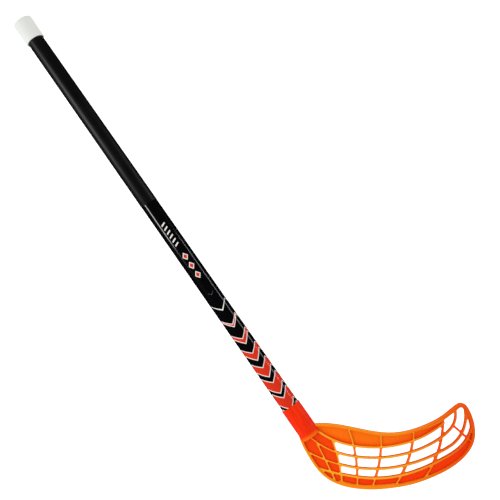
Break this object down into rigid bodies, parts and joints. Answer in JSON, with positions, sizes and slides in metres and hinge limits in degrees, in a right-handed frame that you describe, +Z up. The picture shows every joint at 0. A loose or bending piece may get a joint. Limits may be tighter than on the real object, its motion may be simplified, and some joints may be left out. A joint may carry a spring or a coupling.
{
  "type": "floorball stick",
  "caption": "Floorball stick lying flat: round wrapped shaft with a pale end cap, printed lower film and a hooked orange blade of arched ribs with open windows, held in a socket by a screw.",
  "frame": {"origin": "centre of the knob's flat end face, on the shaft's axis", "axes": "+X along the shaft from the knob to the blade, +Y towards the blade's toe, +Z up from the surface that the stick lies on"},
  "size_m": [0.8964, 0.2278, 0.0304],
  "materials": {
    "tube": "dark fibre composite, satin",
    "grip": "satin black sleeve with fine grain",
    "film": "glossy black film with plain stripes in orange-red and white",
    "knob": "pale grey-white moulded cap",
    "blade": "translucent orange injection moulding, semi-gloss",
    "screw": "zinc-plated"
  },
  "bodies": {
    "root": {"shaft_tube": "tube", "grip_sleeve": "grip", "graphic_film": "film", "end_knob": "knob", "blade": "blade", "blade_screw": "screw"}
  },
  "joints": []
}
